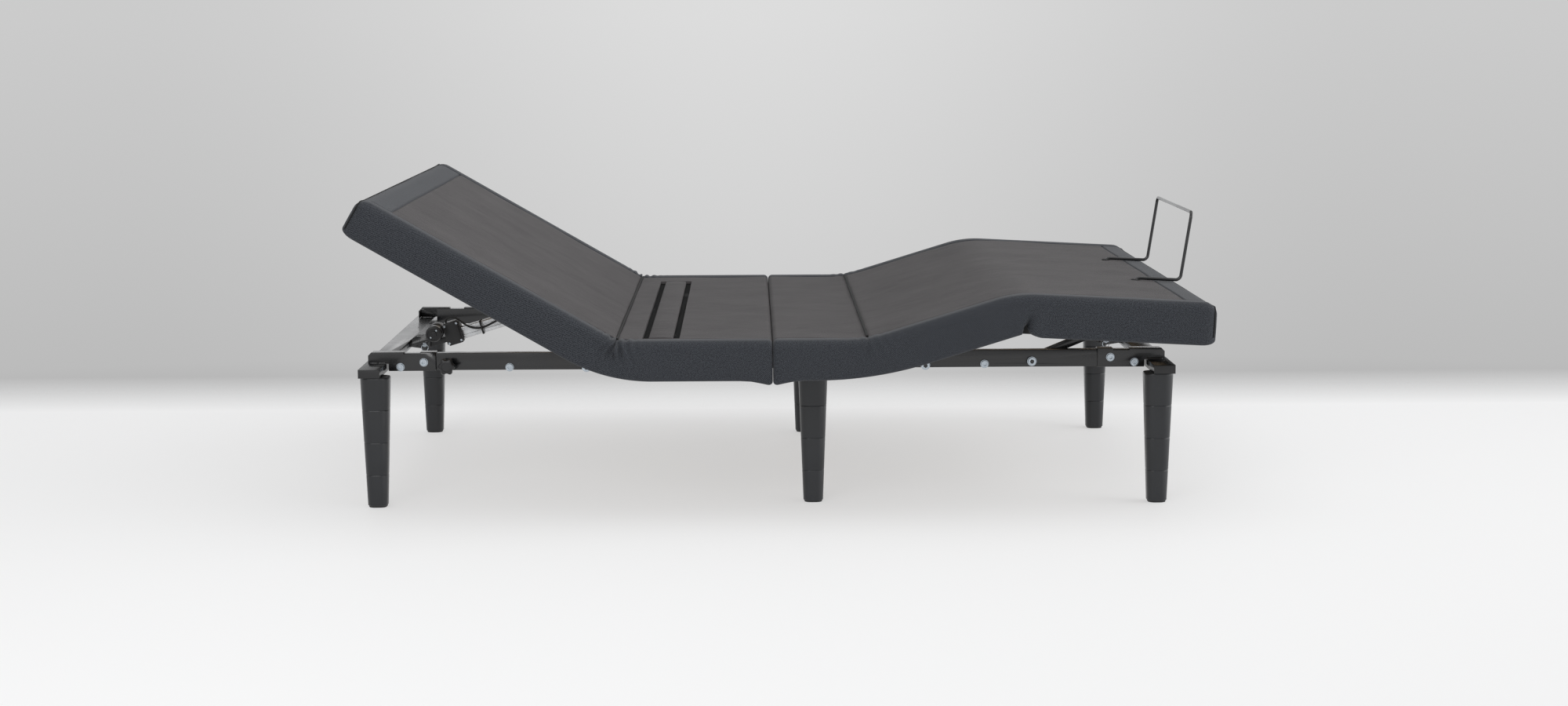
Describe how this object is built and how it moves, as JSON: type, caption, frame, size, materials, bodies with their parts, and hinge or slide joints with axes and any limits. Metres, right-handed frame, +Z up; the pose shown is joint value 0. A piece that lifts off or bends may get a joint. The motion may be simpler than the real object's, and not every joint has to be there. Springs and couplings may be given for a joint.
{
  "type": "adjustable bed base",
  "caption": "Motorised adjustable bed base: upholstered deck sections that raise head and knees, on a black steel frame with stacked tapered legs and a mattress retainer bar.",
  "frame": {"origin": "floor level, centre of the plan bounding box with the head and thigh sections at their rest angles", "axes": "+Z up, +X towards the foot end, +Y towards the left side rail"},
  "size_m": [1.9834, 1.524, 0.7326],
  "materials": {
    "deck_fabric": "dark grey woven upholstery, twill at the sides",
    "deck_board": "plywood",
    "leg_plastic": "charcoal satin moulded plastic",
    "zinc_steel": "zinc plated",
    "actuator_alloy": "satin extruded aluminium",
    "black_plastic": "black satin",
    "frame_steel": "black gloss powder coat"
  },
  "bodies": {
    "base": {"head_cross_tube": "frame_steel", "middle_cross_tube": "frame_steel", "foot_cross_tube": "frame_steel", "left_side_rail": "frame_steel", "right_side_rail": "frame_steel", "head_left_bracket": "frame_steel", "head_right_bracket": "frame_steel", "foot_left_bracket": "frame_steel", "foot_right_bracket": "frame_steel", "head_left_leg": "leg_plastic", "head_right_leg": "leg_plastic", "middle_left_leg": "leg_plastic", "middle_right_leg": "leg_plastic", "foot_left_leg": "leg_plastic", "foot_right_leg": "leg_plastic", "left_seat_frame_tube": "frame_steel", "right_seat_frame_tube": "frame_steel", "seat_head_board": "deck_board", "seat_foot_board": "deck_board", "seat_head_pad": "deck_fabric", "seat_foot_pad": "deck_fabric", "seat_slat": "deck_fabric", "control_box": "black_plastic"},
    "head_section": {"head_board": "deck_board", "head_pad": "deck_fabric", "left_head_frame_tube": "frame_steel", "right_head_frame_tube": "frame_steel", "head_lift_track": "black_plastic"},
    "head_lift_arm": {"head_torque_tube": "frame_steel"},
    "head_rollers": {"left_head_roller": "black_plastic", "right_head_roller": "black_plastic"},
    "head_actuator": {"head_motor": "actuator_alloy", "head_gearbox": "black_plastic", "head_sleeve": "actuator_alloy", "head_motor_cable": "black_plastic", "cable_coupler": "black_plastic", "cable_tie": "black_plastic"},
    "head_rod": {"head_actuator_rod": "zinc_steel"},
    "thigh_section": {"thigh_board": "deck_board", "thigh_pad": "deck_fabric", "left_thigh_frame_tube": "frame_steel", "right_thigh_frame_tube": "frame_steel", "thigh_lift_track": "black_plastic"},
    "foot_section": {"foot_board": "deck_board", "foot_pad": "deck_fabric", "left_foot_frame_tube": "frame_steel", "right_foot_frame_tube": "frame_steel", "mattress_retainer": "frame_steel"},
    "foot_links": {"left_foot_link": "frame_steel", "right_foot_link": "frame_steel"},
    "thigh_lift_arm": {"thigh_torque_tube": "frame_steel"},
    "thigh_rollers": {"left_thigh_roller": "black_plastic", "right_thigh_roller": "black_plastic"},
    "thigh_actuator": {"thigh_motor": "actuator_alloy", "thigh_gearbox": "black_plastic", "thigh_sleeve": "actuator_alloy"},
    "thigh_rod": {"thigh_actuator_rod": "zinc_steel"},
    "left_knob": {"left_hand_knob": "black_plastic"},
    "right_knob": {"right_hand_knob": "black_plastic"}
  },
  "joints": [
    {"name": "head_lift", "type": "hinge", "parent": "base", "child": "head_section", "pos_m": [-0.38633, 0, 0.388], "axis": [0, 1, 0], "range_deg": [-30, 30]},
    {"name": "head_lever", "type": "hinge", "parent": "base", "child": "head_lift_arm", "pos_m": [-0.46433, 0, 0.314], "axis": [0, 1, 0], "range_deg": [-30.02, 30.02]},
    {"name": "head_roller_spin", "type": "hinge", "parent": "head_lift_arm", "child": "head_rollers", "pos_m": [-0.5852, 0, 0.43354], "axis": [0, 1, 0], "range_deg": [-179.22, 179.22]},
    {"name": "head_actuator_swing", "type": "hinge", "parent": "base", "child": "head_actuator", "pos_m": [-0.89933, 0, 0.312], "axis": [0, 1, 0], "range_deg": [-3.59, 3.59]},
    {"name": "head_rod_slide", "type": "slide", "parent": "head_actuator", "child": "head_rod", "axis": [0.9576, 0, 0.2882], "range_m": [-0.07022, 0.07022]},
    {"name": "thigh_lift", "type": "hinge", "parent": "base", "child": "thigh_section", "pos_m": [0.18667, 0, 0.388], "axis": [0, -1, 0], "range_deg": [-17, 18]},
    {"name": "knee_fold", "type": "hinge", "parent": "thigh_section", "child": "foot_section", "pos_m": [0.51851, 0, 0.48945], "axis": [0, -1, 0], "range_deg": [-21.2, 20.02]},
    {"name": "foot_link_swing", "type": "hinge", "parent": "base", "child": "foot_links", "pos_m": [0.57967, 0, 0.322], "axis": [0, -1, 0], "range_deg": [-19.89, 21.06]},
    {"name": "thigh_lever", "type": "hinge", "parent": "base", "child": "thigh_lift_arm", "pos_m": [0.32967, 0, 0.314], "axis": [0, -1, 0], "range_deg": [-23.82, 25.22]},
    {"name": "thigh_roller_spin", "type": "hinge", "parent": "thigh_lift_arm", "child": "thigh_rollers", "pos_m": [0.44175, 0, 0.4137], "axis": [0, -1, 0], "range_deg": [-200.53, 189.39]},
    {"name": "thigh_actuator_swing", "type": "hinge", "parent": "base", "child": "thigh_actuator", "pos_m": [0.81667, 0, 0.312], "axis": [0, -1, 0], "range_deg": [-5.07, 4.79]},
    {"name": "thigh_rod_slide", "type": "slide", "parent": "thigh_actuator", "child": "thigh_rod", "axis": [-0.962, 0, 0.2729], "range_m": [-0.0577, 0.06108]},
    {"name": "left_knob_turn", "type": "hinge", "parent": "base", "child": "left_knob", "pos_m": [-0.78933, 0.49, 0.32], "axis": [0, 1, 0], "continuous": true},
    {"name": "right_knob_turn", "type": "hinge", "parent": "base", "child": "right_knob", "pos_m": [-0.78933, -0.49, 0.32], "axis": [0, 1, 0], "continuous": true}
  ],
  "couplings": [
    {"joint": "head_lever", "follows": "head_lift", "ratio": 1},
    {"joint": "head_roller_spin", "follows": "head_lift", "ratio": -5.9732},
    {"joint": "head_actuator_swing", "follows": "head_lift", "ratio": -0.1189},
    {"joint": "head_rod_slide", "follows": "head_lift", "m_per_rad": 0.13392},
    {"joint": "knee_fold", "follows": "thigh_lift", "ratio": -1.1765},
    {"joint": "foot_link_swing", "follows": "thigh_lift", "ratio": 1.1688},
    {"joint": "thigh_lever", "follows": "thigh_lift", "ratio": 1.4},
    {"joint": "thigh_roller_spin", "follows": "thigh_lift", "ratio": -11.14},
    {"joint": "thigh_actuator_swing", "follows": "thigh_lift", "ratio": -0.2804},
    {"joint": "thigh_rod_slide", "follows": "thigh_lift", "m_per_rad": 0.19412}
  ]
}
